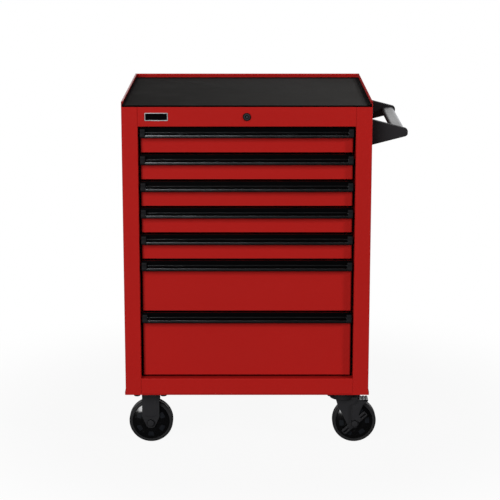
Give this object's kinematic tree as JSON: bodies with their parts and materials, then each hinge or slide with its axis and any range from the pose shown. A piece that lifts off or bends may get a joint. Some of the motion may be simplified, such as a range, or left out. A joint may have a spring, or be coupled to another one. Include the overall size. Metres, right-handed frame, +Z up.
{
  "type": "rolling tool cabinet",
  "caption": "Rolling steel tool cabinet with full-width drawer pulls, telescopic drawer slides, a key lock with locking bar, a side push handle and casters with foot brakes.",
  "frame": {"origin": "on the floor under the middle of the outline, handle and lock face included", "axes": "+Z up, front with the drawers towards -Y, handle towards +X"},
  "size_m": [0.792, 0.6134, 0.9915],
  "materials": {
    "red_paint": "satin",
    "black_metal": "satin",
    "black_cast": "satin black coat",
    "black_gloss": "gloss black coat",
    "black_aluminium": "black anodised",
    "black_plastic": "matt",
    "mat_rubber": "matt",
    "wheel_black": "matt",
    "zinc_steel": "zinc plated"
  },
  "bodies": {
    "cabinet": {"cabinet_shell": "red_paint", "top_panel": "red_paint", "bottom_panel": "red_paint", "bottom_rail": "red_paint", "top_mat": "mat_rubber", "slide_uprights": "red_paint", "cabinet_slides": "zinc_steel", "lock_barrel": "black_metal", "lock_guides": "zinc_steel", "handle_brackets": "black_cast", "handle_bar": "black_gloss", "rigid_caster_frames": "black_metal", "swivel_caster_plates": "black_metal", "caster_bolts": "zinc_steel"},
    "lock": {"lock_plug": "zinc_steel", "lock_shaft": "zinc_steel"},
    "lock_bar": {"lock_bar": "zinc_steel"},
    "drawer_1": {"drawer_1_box": "red_paint", "drawer_1_pull": "black_aluminium", "drawer_1_pull_caps": "black_plastic", "drawer_1_slide_inner": "zinc_steel"},
    "slides_1": {"drawer_1_slide_middle": "zinc_steel"},
    "drawer_2": {"drawer_2_box": "red_paint", "drawer_2_pull": "black_aluminium", "drawer_2_pull_caps": "black_plastic", "drawer_2_slide_inner": "zinc_steel"},
    "slides_2": {"drawer_2_slide_middle": "zinc_steel"},
    "drawer_3": {"drawer_3_box": "red_paint", "drawer_3_pull": "black_aluminium", "drawer_3_pull_caps": "black_plastic", "drawer_3_slide_inner": "zinc_steel"},
    "slides_3": {"drawer_3_slide_middle": "zinc_steel"},
    "drawer_4": {"drawer_4_box": "red_paint", "drawer_4_pull": "black_aluminium", "drawer_4_pull_caps": "black_plastic", "drawer_4_slide_inner": "zinc_steel"},
    "slides_4": {"drawer_4_slide_middle": "zinc_steel"},
    "drawer_5": {"drawer_5_box": "red_paint", "drawer_5_pull": "black_aluminium", "drawer_5_pull_caps": "black_plastic", "drawer_5_slide_inner": "zinc_steel"},
    "slides_5": {"drawer_5_slide_middle": "zinc_steel"},
    "drawer_6": {"drawer_6_box": "red_paint", "drawer_6_pull": "black_aluminium", "drawer_6_pull_caps": "black_plastic", "drawer_6_slide_inner": "zinc_steel"},
    "slides_6": {"drawer_6_slide_middle": "zinc_steel"},
    "drawer_7": {"drawer_7_box": "red_paint", "drawer_7_pull": "black_aluminium", "drawer_7_pull_caps": "black_plastic", "drawer_7_slide_inner": "zinc_steel"},
    "slides_7": {"drawer_7_slide_middle": "zinc_steel"},
    "swivel_front": {"swivel_fork_front": "black_metal"},
    "brake_front": {"brake_lever_front": "black_metal"},
    "wheel_front_left": {"wheel_front_left": "wheel_black"},
    "wheel_front_right": {"wheel_front_right": "wheel_black"},
    "swivel_rear": {"swivel_fork_rear": "black_metal"},
    "brake_rear": {"brake_lever_rear": "black_metal"},
    "wheel_rear_left": {"wheel_rear_left": "wheel_black"},
    "wheel_rear_right": {"wheel_rear_right": "wheel_black"}
  },
  "joints": [
    {"name": "drawer_1_out", "type": "slide", "parent": "cabinet", "child": "drawer_1", "axis": [0, -1, 0], "range_m": [0, 0.5]},
    {"name": "slides_1_out", "type": "slide", "parent": "cabinet", "child": "slides_1", "axis": [0, -1, 0], "range_m": [0, 0.25]},
    {"name": "drawer_2_out", "type": "slide", "parent": "cabinet", "child": "drawer_2", "axis": [0, -1, 0], "range_m": [0, 0.5]},
    {"name": "slides_2_out", "type": "slide", "parent": "cabinet", "child": "slides_2", "axis": [0, -1, 0], "range_m": [0, 0.25]},
    {"name": "drawer_3_out", "type": "slide", "parent": "cabinet", "child": "drawer_3", "axis": [0, -1, 0], "range_m": [0, 0.5]},
    {"name": "slides_3_out", "type": "slide", "parent": "cabinet", "child": "slides_3", "axis": [0, -1, 0], "range_m": [0, 0.25]},
    {"name": "drawer_4_out", "type": "slide", "parent": "cabinet", "child": "drawer_4", "axis": [0, -1, 0], "range_m": [0, 0.5]},
    {"name": "slides_4_out", "type": "slide", "parent": "cabinet", "child": "slides_4", "axis": [0, -1, 0], "range_m": [0, 0.25]},
    {"name": "drawer_5_out", "type": "slide", "parent": "cabinet", "child": "drawer_5", "axis": [0, -1, 0], "range_m": [0, 0.5]},
    {"name": "slides_5_out", "type": "slide", "parent": "cabinet", "child": "slides_5", "axis": [0, -1, 0], "range_m": [0, 0.25]},
    {"name": "drawer_6_out", "type": "slide", "parent": "cabinet", "child": "drawer_6", "axis": [0, -1, 0], "range_m": [0, 0.5]},
    {"name": "slides_6_out", "type": "slide", "parent": "cabinet", "child": "slides_6", "axis": [0, -1, 0], "range_m": [0, 0.25]},
    {"name": "drawer_7_out", "type": "slide", "parent": "cabinet", "child": "drawer_7", "axis": [0, -1, 0], "range_m": [0, 0.5]},
    {"name": "slides_7_out", "type": "slide", "parent": "cabinet", "child": "slides_7", "axis": [0, -1, 0], "range_m": [0, 0.25]},
    {"name": "lock_turn", "type": "hinge", "parent": "cabinet", "child": "lock", "pos_m": [-0.051, -0.3033, 0.9487], "axis": [0, 1, 0], "range_deg": [0, 90]},
    {"name": "lock_bar_lift", "type": "slide", "parent": "cabinet", "child": "lock_bar", "axis": [0, 0, 1], "range_m": [0, 0.01202]},
    {"name": "swivel_front_turn", "type": "hinge", "parent": "cabinet", "child": "swivel_front", "pos_m": [0.224, -0.2393, 0], "axis": [0, 0, 1], "continuous": true},
    {"name": "wheel_front_left_spin", "type": "hinge", "parent": "cabinet", "child": "wheel_front_left", "pos_m": [-0.326, -0.2393, 0.0625], "axis": [0, 1, 0], "continuous": true},
    {"name": "wheel_front_right_spin", "type": "hinge", "parent": "swivel_front", "child": "wheel_front_right", "pos_m": [0.256, -0.2393, 0.0625], "axis": [0, 1, 0], "continuous": true},
    {"name": "brake_front_press", "type": "hinge", "parent": "swivel_front", "child": "brake_front", "pos_m": [0.256, -0.2393, 0.0625], "axis": [0, 1, 0], "range_deg": [0, 20]},
    {"name": "swivel_rear_turn", "type": "hinge", "parent": "cabinet", "child": "swivel_rear", "pos_m": [0.224, 0.2427, 0], "axis": [0, 0, 1], "continuous": true},
    {"name": "wheel_rear_left_spin", "type": "hinge", "parent": "cabinet", "child": "wheel_rear_left", "pos_m": [-0.326, 0.2427, 0.0625], "axis": [0, 1, 0], "continuous": true},
    {"name": "wheel_rear_right_spin", "type": "hinge", "parent": "swivel_rear", "child": "wheel_rear_right", "pos_m": [0.256, 0.2427, 0.0625], "axis": [0, 1, 0], "continuous": true},
    {"name": "brake_rear_press", "type": "hinge", "parent": "swivel_rear", "child": "brake_rear", "pos_m": [0.256, 0.2427, 0.0625], "axis": [0, 1, 0], "range_deg": [0, 20]}
  ],
  "couplings": [
    {"joint": "slides_1_out", "follows": "drawer_1_out", "ratio": 0.5},
    {"joint": "slides_2_out", "follows": "drawer_2_out", "ratio": 0.5},
    {"joint": "slides_3_out", "follows": "drawer_3_out", "ratio": 0.5},
    {"joint": "slides_4_out", "follows": "drawer_4_out", "ratio": 0.5},
    {"joint": "slides_5_out", "follows": "drawer_5_out", "ratio": 0.5},
    {"joint": "slides_6_out", "follows": "drawer_6_out", "ratio": 0.5},
    {"joint": "slides_7_out", "follows": "drawer_7_out", "ratio": 0.5},
    {"joint": "lock_turn", "follows": "lock_bar_lift", "rad_per_m": 130.67}
  ]
}
